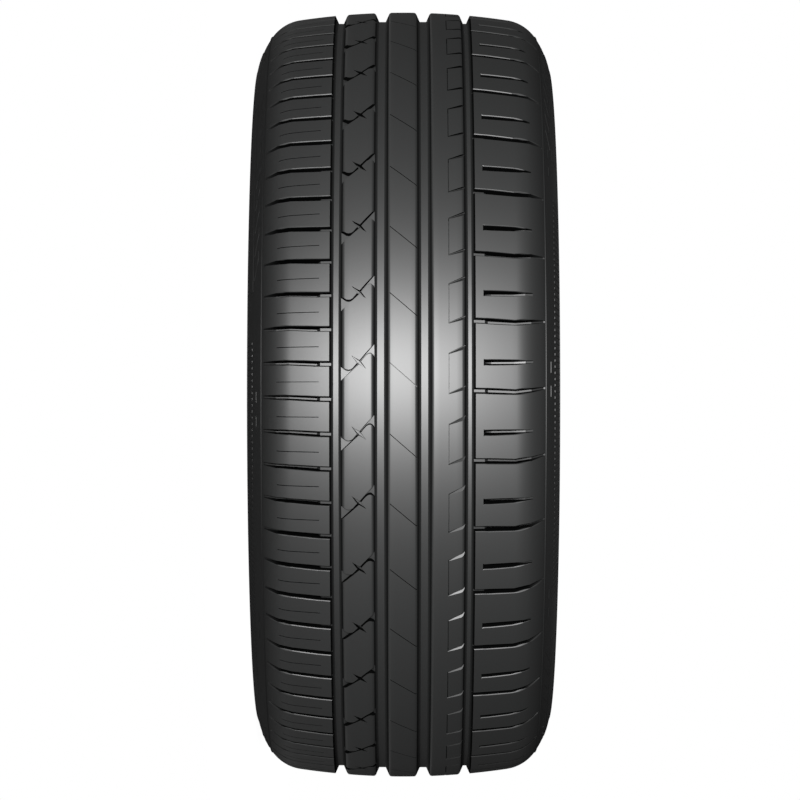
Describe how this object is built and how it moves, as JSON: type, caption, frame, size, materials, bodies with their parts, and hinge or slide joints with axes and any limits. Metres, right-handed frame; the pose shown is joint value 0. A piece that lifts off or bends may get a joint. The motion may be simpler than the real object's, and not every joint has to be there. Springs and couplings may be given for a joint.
{
  "type": "car tyre",
  "caption": "Low-profile road tyre with round grooves, slanted rib cuts, shoulder grooves and beads that seat on a wheel rim.",
  "frame": {"origin": "centre of the tyre, on its axle line and in its middle plane", "axes": "+Z along the axle line, towards the sidewall next to the single shoulder grooves; the tyre lies on its other sidewall"},
  "size_m": [0.6532, 0.6532, 0.248],
  "materials": {
    "tyre_rubber": "satin"
  },
  "bodies": {
    "root": {"tyre": "tyre_rubber"}
  },
  "joints": []
}
